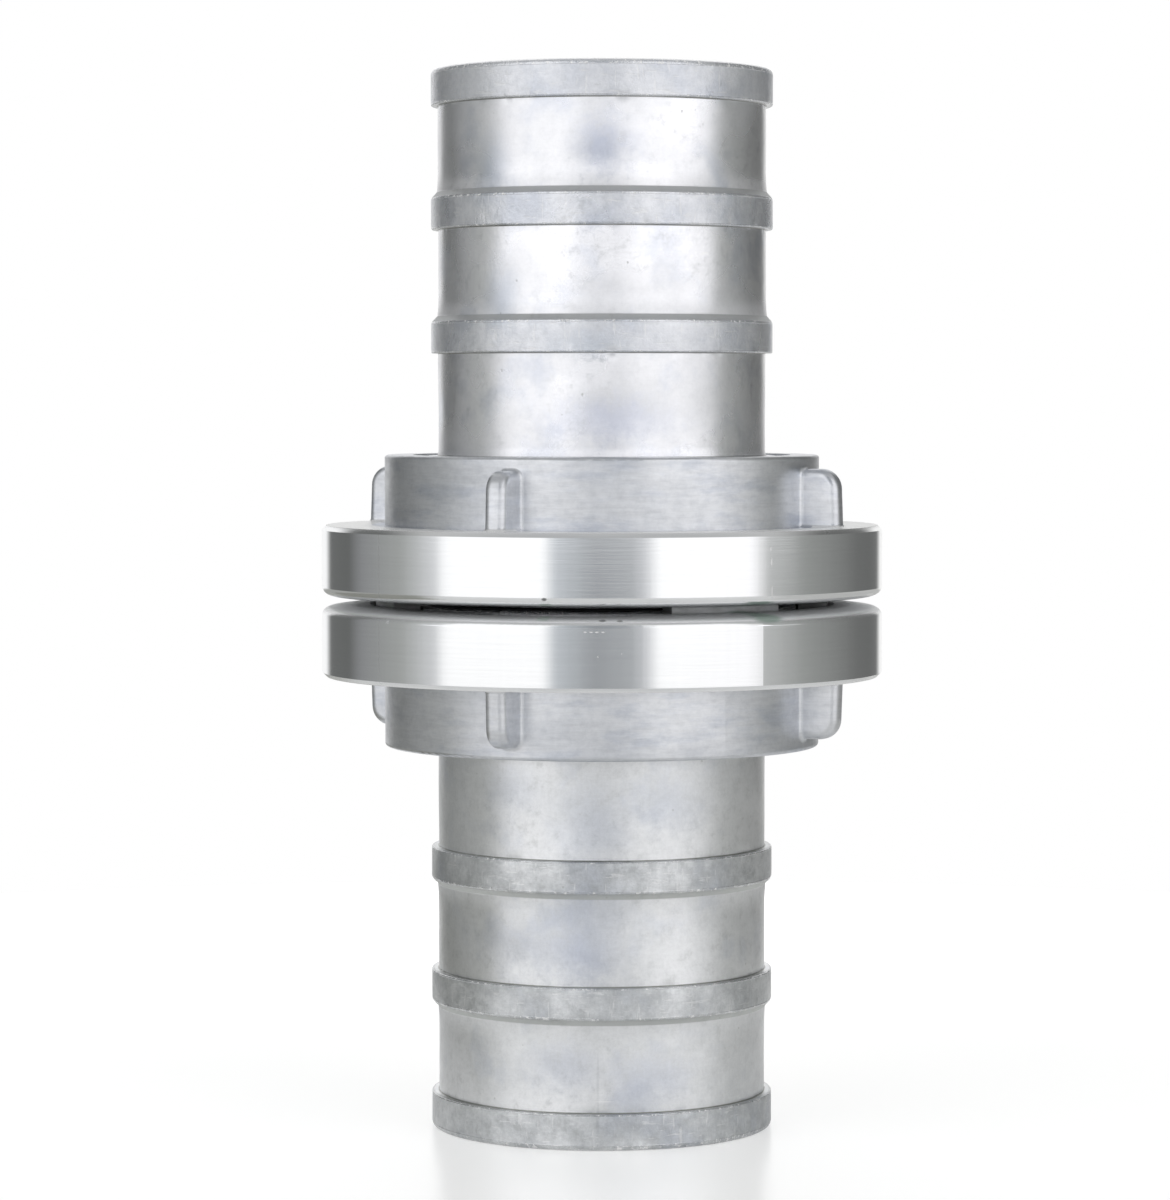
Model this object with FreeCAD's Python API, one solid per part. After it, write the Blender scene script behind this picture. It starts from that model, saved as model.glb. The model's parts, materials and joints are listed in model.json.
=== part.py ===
import FreeCAD
import Part
import math
import os
from FreeCAD import Vector

# A complete claw hose coupling: two identical half couplings, locked face to face and
# standing upright. Lengths are in millimetres, angles in degrees. Each half is modelled
# in its own frame: the axis is Z, the mating plane is Z = 0, the hose is on the -Z side
# and the claws reach out to the +Z side.

# Waterway and hose tail
bore_radius = 33.5
tail_wall = 3.5
barb_height = 1.5
barb_flat = 6.9
barb_chamfer = 1.5
barb_count = 3
barb_pitch = 27.75
first_barb_distance = 55.6
end_barb_width = 8.1
end_rounding = 1.2
barb_edge_rounding = 0.4
hose_mouth_chamfer = 1.0

# Flange and hub of the tail, inside the cap
hub_height = 3.0
flange_height = 4.0
flange_setback = 0.6
flange_edge_chamfer = 0.6
hub_end_chamfer = 0.8

# Seal ring in the flange
seal_bore_step = 0.7
seal_pocket_wall = 2.4
seal_foot_width = 2.6
seal_neck_depth = 3.2
seal_foot_depth = 3.0
seal_lip_chamfer = 0.5

# Snap ring, a split ring of round steel wire
snap_wire_diameter = 3.0
snap_ring_split = 9.0
snap_groove_depth = 1.0
snap_ring_play = 0.05
snap_ring_room = 0.55

# Claws
flange_claw_clearance = 0.5
claw_thickness = 6.5
claw_span = 32.0
claw_edge_chamfer = 0.8
hook_reach = 5.7
hook_thickness = 5.8
hook_edge_chamfer = 1.2
hook_corner_rounding = 2.0

# Rim with the slotted lip that the other half's claws hook behind
rim_wall = 5.7
rim_gap = 1.5
rim_front_rounding_radial = 2.6
rim_front_rounding_axial = 1.95
rim_front_taper_radial = 4.5
rim_front_taper_axial = 0.5
rim_back_chamfer = 1.0
lip_thickness = 6.5
claw_lip_gap = 1.5
hook_room = 0.8
hook_tip_room = 0.6
rim_back_wall = 3.25
slot_play = 2.5
slot_offset = 45.0
lock_travel = 69.0
ramp_rise = 1.2
hook_play = 0.1

# Collar, the turning fit on the tail and the spanner ribs
collar_wall = 6.4
collar_length = 15.8
collar_edge_rounding = 0.8
guide_length = 5.5
guide_clearance = 0.08
hub_clearance = 0.25
snap_pocket_depth = 4.6
rib_count = 4
rib_width = 4.9
rib_height = 8.9
rib_draft = 0.5
rib_end_gap = 2.85
rib_edge_rounding = 1.8
rib_end_rounding = 4.5
rib_root_rounding = 0.9

# Place of each cap round the axis, measured from the front of the coupling
lower_claw_angle = 33.0
front_direction = -90.0

# Sizes that follow from those above
land_radius = bore_radius + tail_wall
barb_radius = land_radius + barb_height
hub_radius = land_radius + hub_height
flange_radius = hub_radius + flange_height
seal_bore_radius = bore_radius + seal_bore_step
seal_foot_radius = flange_radius - seal_pocket_wall
seal_neck_radius = seal_foot_radius - seal_foot_width
claw_inner_radius = flange_radius + flange_claw_clearance
claw_outer_radius = claw_inner_radius + claw_thickness
hook_radius = claw_outer_radius + hook_reach
lip_radius = claw_outer_radius + claw_lip_gap
cavity_radius = hook_radius + hook_room
rim_radius = cavity_radius + rim_wall
ramp_pitch = ramp_rise / lock_travel * 360.0
rim_front = rim_gap / 2.0
taper_back = rim_front + rim_front_taper_axial
taper_radius = rim_radius - rim_front_rounding_radial
side_front = taper_back + rim_front_rounding_axial
lip_back = rim_front + lip_thickness
hook_back = lip_back + hook_play
claw_tip = hook_back + hook_thickness
cavity_floor = claw_tip + hook_tip_room
rim_back = cavity_floor + rim_back_wall
collar_back = rim_back + collar_length
cap_shoulder = cavity_floor + guide_length
snap_pocket_floor = collar_back - snap_pocket_depth
flange_bore_radius = flange_radius + guide_clearance
hub_bore_radius = hub_radius + hub_clearance
snap_groove_radius = hub_radius - snap_groove_depth
snap_ring_radius = snap_groove_radius + snap_ring_play + snap_wire_diameter / 2.0
snap_pocket_radius = snap_ring_radius + snap_wire_diameter / 2.0 + snap_ring_room
collar_radius = snap_pocket_radius + collar_wall
snap_ring_front = snap_pocket_floor + 2.0 * snap_ring_play
snap_groove_front = snap_ring_front - snap_ring_play
snap_groove_back = snap_ring_front + snap_wire_diameter + snap_ring_play
hub_back = snap_groove_back + hub_end_chamfer + 0.4
locked_angle = slot_offset + lock_travel
# The ribs of the two halves stand in line when the coupling is locked.
rib_angle = 90.0 - locked_angle / 2.0
tail_end = first_barb_distance + barb_pitch * (barb_count - 1) + end_barb_width


def turned(points):
    """Solid of revolution about Z from (radius, distance behind the mating plane) points."""
    corners = [Vector(radius, 0, -behind) for radius, behind in points]
    outline = Part.makePolygon(corners + [corners[0]])
    return Part.Face(outline).revolve(Vector(0, 0, 0), Vector(0, 0, 1), 360)


def turned_outline(edges):
    """Solid of revolution about Z from a closed chain of edges in the XZ plane."""
    outline = Part.Wire(edges)
    return Part.Face(outline).revolve(Vector(0, 0, 0), Vector(0, 0, 1), 360)


def sector(points, span):
    """Part of a ring, centred on the X axis, from (radius, height) points."""
    corners = [Vector(radius, 0, height) for radius, height in points]
    outline = Part.makePolygon(corners + [corners[0]])
    solid = Part.Face(outline).revolve(Vector(0, 0, 0), Vector(0, 0, 1), span)
    solid.rotate(Vector(0, 0, 0), Vector(0, 0, 1), -span / 2.0)
    return solid


def turn(shape, angle):
    """Copy of a shape, turned about the axis of the coupling."""
    copy = shape.copy()
    copy.rotate(Vector(0, 0, 0), Vector(0, 0, 1), angle)
    return copy


def edges_at(shape, radius, behind):
    """Circular edges about Z, of one radius and at one distance behind the mating plane."""
    found = []
    for edge in shape.Edges:
        if not isinstance(edge.Curve, Part.Circle):
            continue
        same_radius = abs(edge.Curve.Radius - radius) < 0.001
        same_height = abs(edge.Curve.Center.z + behind) < 0.001
        if same_radius and same_height:
            found.append(edge)
    return found


def helical_block(inner_radius, outer_radius, span, depth):
    """Block under a right-handed helical ramp, which starts on the X axis at height 0."""
    rise = ramp_pitch * span / 360.0
    inner = Part.makeHelix(ramp_pitch, rise, inner_radius)
    outer = Part.makeHelix(ramp_pitch, rise, outer_radius)
    ramp = Part.makeRuledSurface(inner.Edges[0], outer.Edges[0])
    return ramp.extrude(Vector(0, 0, -depth))


def barb_starts():
    """Distance of each barb's steep face behind the mating plane."""
    return [first_barb_distance + barb_pitch * number for number in range(barb_count)]


def tail_tube():
    """The land, the barbs and the hose end as one turned outline."""
    outer = [(land_radius, hub_back)]
    for start in barb_starts()[:-1]:
        outer.append((land_radius, start))
        outer.append((barb_radius, start))
        outer.append((barb_radius, start + barb_flat))
        outer.append((land_radius, start + barb_flat + barb_chamfer))
    end_start = barb_starts()[-1]
    outer.append((land_radius, end_start))
    outer.append((barb_radius, end_start))
    outer.append((barb_radius, tail_end))
    mouth = bore_radius + hose_mouth_chamfer
    inner = [(mouth, tail_end), (bore_radius, tail_end - hose_mouth_chamfer)]
    inner.append((bore_radius, hub_back))
    tube = turned(outer + inner)
    tube = tube.makeFillet(end_rounding, edges_at(tube, barb_radius, tail_end))
    steps = []
    for start in barb_starts():
        steps += edges_at(tube, barb_radius, start)
    return tube.makeFillet(barb_edge_rounding, steps)


def tail_front():
    """The flange with the seal pocket and the hub with the snap ring groove."""
    pocket_floor = flange_setback + seal_neck_depth + seal_foot_depth
    neck_floor = flange_setback + seal_neck_depth
    points = [
        (bore_radius, hub_back),
        (bore_radius, pocket_floor),
        (seal_foot_radius, pocket_floor),
        (seal_foot_radius, neck_floor),
        (seal_neck_radius, neck_floor),
        (seal_neck_radius, flange_setback),
        (flange_radius - flange_edge_chamfer, flange_setback),
        (flange_radius, flange_setback + flange_edge_chamfer),
        (flange_radius, cap_shoulder),
        (hub_radius, cap_shoulder),
        (hub_radius, snap_groove_front),
        (snap_groove_radius, snap_groove_front),
        (snap_groove_radius, snap_groove_back),
        (hub_radius, snap_groove_back),
        (hub_radius, hub_back - hub_end_chamfer),
        (hub_radius - hub_end_chamfer, hub_back),
    ]
    return turned(points)


def hose_tail():
    """The tail as one casting: hose tube, hub and flange."""
    return tail_front().fuse(tail_tube()).removeSplitter()


def seal_ring():
    """Rubber ring with a foot under the flange's edge and a face on the mating plane."""
    neck_floor = flange_setback + seal_neck_depth
    pocket_floor = neck_floor + seal_foot_depth
    points = [
        (seal_bore_radius, pocket_floor),
        (seal_foot_radius, pocket_floor),
        (seal_foot_radius, neck_floor),
        (seal_neck_radius, neck_floor),
        (seal_neck_radius, seal_lip_chamfer),
        (seal_neck_radius - seal_lip_chamfer, 0),
        (seal_bore_radius + seal_lip_chamfer, 0),
        (seal_bore_radius, seal_lip_chamfer),
    ]
    return turned(points)


def snap_ring():
    """Round wire bent to a ring with a split, resting in the hub's groove."""
    split_angle = math.degrees(snap_ring_split / snap_ring_radius)
    wire_radius = snap_wire_diameter / 2.0
    centre = Vector(snap_ring_radius, 0, -snap_ring_front - wire_radius)
    circle = Part.makeCircle(wire_radius, centre, Vector(0, 1, 0))
    section = Part.Face(Part.Wire(circle))
    ring = section.revolve(Vector(0, 0, 0), Vector(0, 0, 1), 360.0 - split_angle)
    return turn(ring, split_angle / 2.0)


def line(start, end):
    """Straight edge of a cap outline, from (radius, distance behind the mating plane) points."""
    return Part.makeLine(Vector(start[0], 0, -start[1]), Vector(end[0], 0, -end[1]))


def rim_rounding():
    """Quarter of an ellipse that rounds the rim's front edge, wider than it is deep."""
    centre = Vector(taper_radius, 0, -side_front)
    major = centre + Vector(rim_front_rounding_radial, 0, 0)
    minor = centre + Vector(0, 0, rim_front_rounding_axial)
    return Part.Ellipse(major, minor, centre).toShape(0, math.pi / 2.0)


def cap_outline():
    """Closed outline of the cap without claws, ribs and slots."""
    corners = [
        (rim_radius, side_front),
        (rim_radius, rim_back - rim_back_chamfer),
        (rim_radius - rim_back_chamfer, rim_back),
        (collar_radius, rim_back),
        (collar_radius, collar_back),
        (snap_pocket_radius, collar_back),
        (snap_pocket_radius, snap_pocket_floor),
        (hub_bore_radius, snap_pocket_floor),
        (hub_bore_radius, cap_shoulder),
        (flange_bore_radius, cap_shoulder),
        (flange_bore_radius, cavity_floor),
        (lip_radius, cavity_floor),
        (lip_radius, rim_front),
        (taper_radius - rim_front_taper_radial, rim_front),
        (taper_radius, taper_back),
    ]
    edges = [line(start, end) for start, end in zip(corners[:-1], corners[1:])]
    return edges + [rim_rounding()]


def cap_body():
    """Rim and collar, turned, with the collar's outer edge rounded."""
    body = turned_outline(cap_outline())
    return body.makeFillet(collar_edge_rounding, edges_at(body, collar_radius, collar_back))


def hook_cavity():
    """Room behind the lip, under a helical ramp that draws the halves together."""
    half_turn = 180.0
    ramp_start = lip_back - ramp_rise
    block = helical_block(lip_radius - 2.0, cavity_radius + 2.0, half_turn, cavity_floor)
    block.translate(Vector(0, 0, -ramp_start - ramp_pitch / 2.0))
    room = Part.makeCylinder(cavity_radius, cavity_floor - rim_front, Vector(0, 0, -cavity_floor))
    core = Part.makeCylinder(lip_radius - 1.0, cavity_floor, Vector(0, 0, -cavity_floor))
    return block.common(room.cut(core))


def lip_slot():
    """Slot through the lip that lets a hook of the other half in."""
    inner = lip_radius - 1.0
    points = [
        (inner, -cavity_floor),
        (cavity_radius, -cavity_floor),
        (cavity_radius, 1.0),
        (inner, 1.0),
    ]
    return sector(points, claw_span + 2.0 * slot_play)


def claw_hook():
    """Hook at the claw's tip; its bearing face follows the same ramp as the lip."""
    inner = claw_outer_radius - 1.0
    points = [
        (inner, 0),
        (hook_radius, 0),
        (hook_radius, claw_tip - hook_edge_chamfer),
        (hook_radius - hook_edge_chamfer, claw_tip),
        (inner, claw_tip),
    ]
    hook = sector(points, claw_span)
    corners = []
    for edge in hook.Edges:
        start = edge.Vertexes[0].Point
        end = edge.Vertexes[-1].Point
        upright = abs(start.z - end.z) > hook_edge_chamfer + 0.1
        outside = math.hypot(start.x, start.y) > hook_radius - 0.01
        if upright and outside:
            corners.append(edge)
    hook = hook.makeFillet(hook_corner_rounding, corners)
    spare = 4.0
    below = helical_block(inner - 2.0, hook_radius + 2.0, claw_span + 2.0 * spare, claw_tip)
    below = turn(below, -claw_span / 2.0 - spare)
    lowest = hook_back - ramp_pitch * (claw_span / 2.0 + spare) / 360.0
    below.translate(Vector(0, 0, lowest))
    return hook.cut(below)


def claw():
    """One claw: the upright wall on the collar and the hook at its tip."""
    root = -cavity_floor - 1.0
    points = [
        (claw_inner_radius, root),
        (claw_outer_radius, root),
        (claw_outer_radius, claw_tip),
        (claw_inner_radius + claw_edge_chamfer, claw_tip),
        (claw_inner_radius, claw_tip - claw_edge_chamfer),
    ]
    return sector(points, claw_span).fuse(claw_hook())


def spanner_rib():
    """Rib along the collar for the spanner, with a rounded back and rounded end."""
    inner = collar_radius - 2.0
    outer = collar_radius + rib_height
    front = -rim_back + 1.0
    back = -collar_back + rib_end_gap
    corners = [(inner, front), (outer, front), (outer - rib_draft, back), (inner, back), (inner, front)]
    outline = Part.makePolygon([Vector(x, -rib_width / 2.0, z) for x, z in corners])
    rib = Part.Face(outline).extrude(Vector(0, rib_width, 0))
    end_edges = []
    for edge in rib.Edges:
        middle = edge.valueAt((edge.FirstParameter + edge.LastParameter) / 2.0)
        if abs(middle.x - outer + rib_draft) < 0.01 and abs(middle.z - back) < 0.01:
            end_edges.append(edge)
    rib = rib.makeFillet(rib_end_rounding, end_edges)
    long_edges = []
    for edge in rib.Edges:
        middle = edge.valueAt((edge.FirstParameter + edge.LastParameter) / 2.0)
        side = abs(abs(middle.y) - rib_width / 2.0) < 0.01
        if side and middle.x > inner + 0.1 and middle.z < front - 0.01:
            long_edges.append(edge)
    return rib.makeFillet(rib_edge_rounding, long_edges)


def rib_root_edges(body):
    """Edges where the ribs meet the collar and the back of the rim."""
    found = []
    for edge in body.Edges:
        start = edge.FirstParameter
        step = (edge.LastParameter - start) / 4.0
        points = [edge.valueAt(start + step * number) for number in range(5)]
        radii = [math.hypot(point.x, point.y) for point in points]
        heights = [point.z for point in points]
        on_collar = max(abs(radius - collar_radius) for radius in radii) < 0.01
        on_rim = max(abs(height + rim_back) for height in heights) < 0.01
        round_the_axis = isinstance(edge.Curve, Part.Circle) and abs(edge.Curve.Center.x) < 0.01
        beside_rib = min(heights) > -collar_back + rib_end_gap - 0.01
        inside_ribs = max(radii) < collar_radius + rib_height + 0.01
        if round_the_axis or not beside_rib or not inside_ribs:
            continue
        if on_collar or on_rim:
            found.append(edge)
    return found


def ribbed_body():
    """Rim and collar with the spanner ribs, blended in at their roots."""
    body = cap_body()
    for number in range(rib_count):
        body = body.fuse(turn(spanner_rib(), rib_angle + 360.0 / rib_count * number))
    body = body.removeSplitter()
    return body.makeFillet(rib_root_rounding, rib_root_edges(body))


def claw_cap():
    """The cap as one forging, with a claw centred on the X axis."""
    cap = ribbed_body()
    slot = turn(lip_slot(), -slot_offset)
    cavity = turn(hook_cavity(), -slot_offset)
    for half_turn in (0.0, 180.0):
        cap = cap.cut(turn(cavity, half_turn))
        cap = cap.cut(turn(slot, half_turn))
    for half_turn in (0.0, 180.0):
        cap = cap.fuse(turn(claw(), half_turn))
    return cap.removeSplitter()


def place_lower(shape, angle):
    """Stand a half on the floor with its mating plane up."""
    placed = turn(shape, front_direction + angle)
    placed.translate(Vector(0, 0, tail_end))
    return placed


def place_upper(shape, angle):
    """Turn a half upside down onto the lower one."""
    placed = shape.copy()
    placed.rotate(Vector(0, 0, 0), Vector(1, 0, 0), 180)
    placed = turn(placed, front_direction + angle)
    placed.translate(Vector(0, 0, tail_end))
    return placed


def main():
    os.makedirs("parts", exist_ok=True)
    upper_claw_angle = lower_claw_angle - locked_angle
    pieces = {
        "hose_tail": hose_tail(),
        "claw_cap": claw_cap(),
        "seal": seal_ring(),
        "snap_ring": snap_ring(),
    }
    for name, shape in pieces.items():
        place_lower(shape, lower_claw_angle).exportStep(f"parts/lower_{name}.step")
        place_upper(shape, upper_claw_angle).exportStep(f"parts/upper_{name}.step")
        print(name, shape.isValid(), len(shape.Solids), round(shape.Volume, 1))


main()
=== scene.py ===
import json
import math

import bpy
import numpy as np
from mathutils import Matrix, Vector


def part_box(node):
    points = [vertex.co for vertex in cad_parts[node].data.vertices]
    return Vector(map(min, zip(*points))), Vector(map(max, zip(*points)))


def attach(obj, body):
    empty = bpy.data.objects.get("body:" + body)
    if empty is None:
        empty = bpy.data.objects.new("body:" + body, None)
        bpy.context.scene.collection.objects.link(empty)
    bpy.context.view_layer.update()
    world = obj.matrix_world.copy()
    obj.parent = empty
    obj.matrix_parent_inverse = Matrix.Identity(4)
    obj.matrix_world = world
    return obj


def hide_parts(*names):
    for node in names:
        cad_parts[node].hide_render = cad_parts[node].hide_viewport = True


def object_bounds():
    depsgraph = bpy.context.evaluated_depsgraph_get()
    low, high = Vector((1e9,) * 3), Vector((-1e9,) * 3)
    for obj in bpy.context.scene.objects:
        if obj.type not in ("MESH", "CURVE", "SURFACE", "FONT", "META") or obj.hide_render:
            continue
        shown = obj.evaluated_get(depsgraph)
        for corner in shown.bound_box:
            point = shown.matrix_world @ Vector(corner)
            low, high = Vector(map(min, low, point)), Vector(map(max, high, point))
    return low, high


# A locked pair of claw hose couplings in aluminium, standing on one hose tail.
# Lengths are metres in the row's frame, and mm turns a size in millimetres into them.
mm = 0.001

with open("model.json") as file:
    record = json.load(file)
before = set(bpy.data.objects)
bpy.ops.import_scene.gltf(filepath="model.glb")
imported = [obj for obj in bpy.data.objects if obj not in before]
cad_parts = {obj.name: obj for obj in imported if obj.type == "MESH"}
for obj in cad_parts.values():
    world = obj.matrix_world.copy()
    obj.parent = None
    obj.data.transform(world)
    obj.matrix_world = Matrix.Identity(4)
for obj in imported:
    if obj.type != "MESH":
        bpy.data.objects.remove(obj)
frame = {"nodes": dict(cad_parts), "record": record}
cadLow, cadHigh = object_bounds()

mounts = {mount["name"]: mount for mount in frame["record"]["mounts"]}
shankRadius = mounts["lower_hose_shank"]["dims"]["r_mm"] * mm
boreRadius = mounts["lower_waterway"]["dims"]["r_mm"] * mm
tailLow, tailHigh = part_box("lower_hose_tail")
matingHeight = (cadHigh.z + cadLow.z) / 2


# sRGB hex to linear: each channel over 12.92 below 0.04045, else the 2.4 power curve
def linearColour(text):
    channels = np.array([int(text[i:i + 2], 16) / 255 for i in (1, 3, 5)])
    curved = ((channels + 0.055) / 1.055) ** 2.4
    return (*np.where(channels < 0.04045, channels / 12.92, curved), 1.0)


# Adds a node with its settings; an input gets a link from a socket, a hex colour made linear, or
# a plain value
def addNode(tree, kind, inputs=None, **settings):
    node = tree.nodes.new(kind)
    for key, value in settings.items():
        setattr(node, key, value)
    for key, value in (inputs or {}).items():
        if isinstance(value, bpy.types.NodeSocket):
            tree.links.new(value, node.inputs[key])
        else:
            node.inputs[key].default_value = linearColour(value) if isinstance(value, str) else value
    return node


def newMaterial(name):
    material = bpy.data.materials.new(name)
    material.use_nodes = True
    material.node_tree.nodes.clear()
    return material, material.node_tree


# Product of factors, each a socket or a plain number
def product(tree, *factors):
    total = factors[0]
    for factor in factors[1:]:
        inputs = {0: total, 1: factor}
        total = addNode(tree, "ShaderNodeMath", inputs, operation="MULTIPLY").outputs[0]
    return total


# Sum of products: each term is a tuple of factors
def summed(tree, *terms):
    total = product(tree, *terms[0])
    for term in terms[1:]:
        inputs = {0: total, 1: product(tree, *term)}
        total = addNode(tree, "ShaderNodeMath", inputs, operation="ADD").outputs[0]
    return total


# The same sum, held between 0 and 1
def weighed(tree, *terms):
    inputs = {0: summed(tree, *terms), 1: 0.0}
    return addNode(tree, "ShaderNodeMath", inputs, operation="ADD", use_clamp=True).outputs[0]


# Product of smooth steps. Each edge is a value, where it gives 0 and where it gives 1; two more
# numbers stand for what it gives there instead.
def mask(tree, *edges):
    steps = []
    for value, start, end, *ends in edges:
        low, high = ends or (0.0, 1.0)
        inputs = {"Value": value, "From Min": start, "From Max": end, "To Min": low, "To Max": high}
        step = addNode(tree, "ShaderNodeMapRange", inputs, interpolation_type="SMOOTHSTEP")
        steps.append(step.outputs[0])
    return product(tree, *steps)


# Edge of a mask whose two ends are given from a base
def fromBase(value, base, ends):
    return value, base + ends[0], base + ends[1]


# Smooth noise from 0 to 1 whose blobs are about a size in metres. A stretch below 1 draws them
# out along that axis, and a turn in radians slants them.
def patterned(tree, vector, size, detail, roughness, stretch=(1, 1, 1), turn=(0, 0, 0)):
    inputs = {"Vector": vector, "Scale": stretch, "Rotation": turn}
    place = addNode(tree, "ShaderNodeMapping", inputs).outputs[0]
    inputs = {"Vector": place, "Scale": 1 / size, "Detail": detail, "Roughness": roughness}
    return addNode(tree, "ShaderNodeTexNoise", inputs).outputs["Fac"]


# One colour laid over another; the product of the masks is the share that it covers
def layered(tree, under, over, *masks):
    inputs = {"Factor": product(tree, *masks), 6: under, 7: over}
    return addNode(tree, "ShaderNodeMix", inputs, data_type="RGBA").outputs[2]


# Distance from the coupling's axis, from separated Object coordinates
def axisRadius(tree, split):
    flat = addNode(tree, "ShaderNodeCombineXYZ", {"X": split.outputs["X"], "Y": split.outputs["Y"]})
    away = addNode(tree, "ShaderNodeVectorMath", {0: flat.outputs[0]}, operation="LENGTH")
    return away.outputs["Value"]


# Angle round the axis in degrees, 0 towards the camera and growing to its right, and the same
# angle without its sign
def sideAngles(tree, split):
    inputs = {0: split.outputs["X"], 1: product(tree, split.outputs["Y"], -1.0)}
    turn = addNode(tree, "ShaderNodeMath", inputs, operation="ARCTAN2").outputs[0]
    angle = product(tree, turn, math.degrees(1))  # from radians
    return angle, addNode(tree, "ShaderNodeMath", {0: angle}, operation="ABSOLUTE").outputs[0]


# Surface of a material: a relief from 0 to 1 is raised by a depth in metres
def surfaced(tree, relief, depth, inputs):
    bump = addNode(tree, "ShaderNodeBump", {"Height": relief, "Distance": depth, "Strength": 1.0})
    shader = addNode(tree, "ShaderNodeBsdfPrincipled", {"Normal": bump.outputs[0], **inputs})
    addNode(tree, "ShaderNodeOutputMaterial", {"Surface": shader.outputs[0]})


# Camera, at the photo's eye level, a little left of the coupling's axis
camera = {
    "place": (-3.8 * mm, -1.0, 166 * mm),
    "down": 2.685,          # degrees below level
    "focalLength": 132.75,  # mm, for the long side of the picture
    "clip": (0.05, 50.0),   # metres
}


def addCamera():
    data = bpy.data.cameras.new("photoCamera")
    data.lens = camera["focalLength"]
    data.clip_start, data.clip_end = camera["clip"]
    placed = bpy.data.objects.new("photoCamera", data)
    placed.location = camera["place"]
    placed.rotation_euler = (math.radians(90 - camera["down"]), 0, 0)
    bpy.context.scene.collection.objects.link(placed)
    bpy.context.scene.camera = placed


addCamera()
bpy.context.scene.view_settings.view_transform = "Standard"
print("camera set")


# Studio: two tall soft boxes beside the camera, a white sweep behind, grey walls and a grey ceiling
studio = {
    # Brightness round the horizon: degrees from the camera's side, minus to its left, and colour
    "horizon": [
        (-180, (1.0, 1.0, 1.0)),
        (-156, (1.0, 1.0, 1.0)),
        (-148, (0.152, 0.156, 0.154)),
        (-126, (0.132, 0.136, 0.133)),
        (-116, (0.25, 0.255, 0.26)),
        (-90, (0.36, 0.37, 0.36)),
        (-72, (0.62, 0.63, 0.64)),
        (-66, (1.12, 1.12, 1.12)),
        (-24, (1.14, 1.14, 1.14)),
        (-19, (0.50, 0.53, 0.56)),
        (-3, (0.28, 0.295, 0.31)),
        (12, (0.36, 0.375, 0.39)),
        (17, (0.56, 0.57, 0.59)),
        (23, (1.14, 1.14, 1.14)),
        (63, (1.12, 1.11, 1.12)),
        (71, (0.45, 0.457, 0.45)),
        (90, (0.30, 0.31, 0.30)),
        (128, (0.153, 0.156, 0.153)),
        (142, (0.143, 0.146, 0.143)),
        (154, (0.174, 0.176, 0.174)),
        (162, (0.95, 0.95, 0.94)),
        (180, (1.0, 1.0, 1.0)),
    ],
    # A long strip light over the camera: degrees above the horizon and to each side of its
    # middle, and colour
    "stripBottom": (-2.0, 1.0),
    "stripTop": (13, 9),
    "stripSide": (87, 75),
    "stripTurned": 4,            # degrees to the right of the camera
    "stripLight": (1.23, 1.23, 1.26),
    "boxTop": (36, 56),          # degrees above the horizon, where all fades into the ceiling
    "ceiling": (0.46, 0.465, 0.47),
    "ceilingBehind": (0.62, 0.62, 0.61),
    "behind": (-0.1, 0.75),      # Y of the direction, where the ceiling behind takes over
    "table": (0.58, 0.58, 0.57),
    "tableAside": (0.36, 0.365, 0.35),
    "tableFade": (-4.0, -7.5),   # degrees below the horizon, where the white table takes over
    "tableSide": (66, 84),       # degrees to each side, where grey cards lie on it
    "leftToRight": (-10, 10, 1.0, 0.35),  # degrees, and strength of the cards at left and right
}


# Colour ramp whose stops are the horizon's angles, from the back on the left round to the back
def horizonRamp(tree, share):
    node = addNode(tree, "ShaderNodeValToRGB", {"Fac": share})
    stops = node.color_ramp.elements
    while len(stops) < len(studio["horizon"]):
        stops.new(0.5)
    for stop, (angle, colour) in zip(stops, studio["horizon"]):
        stop.position = angle / 360 + 0.5
        stop.color = (*colour, 1.0)
    return node.outputs["Color"]


def addWorld():
    world = bpy.data.worlds.new("studioRoom")
    world.use_nodes = True
    bpy.context.scene.world = world
    tree = world.node_tree
    tree.nodes.clear()
    direction = addNode(tree, "ShaderNodeTexCoord").outputs["Generated"]
    split = addNode(tree, "ShaderNodeSeparateXYZ", {0: direction})
    sideAngle, aside = sideAngles(tree, split)
    rise = addNode(tree, "ShaderNodeMath", {0: split.outputs["Z"]}, operation="ARCSINE").outputs[0]
    elevation = product(tree, rise, math.degrees(1))
    room = horizonRamp(tree, summed(tree, (sideAngle, 1 / 360), (0.5,)))
    turned = summed(tree, (sideAngle,), (-studio["stripTurned"],))
    fromMiddle = addNode(tree, "ShaderNodeMath", {0: turned}, operation="ABSOLUTE").outputs[0]
    inStrip = mask(tree, (elevation, *studio["stripBottom"]), (elevation, *studio["stripTop"]),
                   (fromMiddle, *studio["stripSide"]))
    room = layered(tree, room, (*studio["stripLight"], 1.0), inStrip)
    cards = mask(tree, (aside, *studio["tableSide"]), (sideAngle, *studio["leftToRight"]))
    table = layered(tree, (*studio["table"], 1.0), (*studio["tableAside"], 1.0), cards)
    room = layered(tree, room, table, mask(tree, (elevation, *studio["tableFade"])))
    behind = mask(tree, (split.outputs["Y"], *studio["behind"]))
    ceiling = layered(tree, (*studio["ceiling"], 1.0), (*studio["ceilingBehind"], 1.0), behind)
    room = layered(tree, room, ceiling, mask(tree, (elevation, *studio["boxTop"])))
    isCamera = addNode(tree, "ShaderNodeLightPath").outputs["Is Camera Ray"]
    seen = layered(tree, room, (1.0, 1.0, 1.0, 1.0), isCamera)
    background = addNode(tree, "ShaderNodeBackground", {"Color": seen, "Strength": 1.0})
    addNode(tree, "ShaderNodeOutputWorld", {"Surface": background.outputs[0]})


addWorld()


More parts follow.
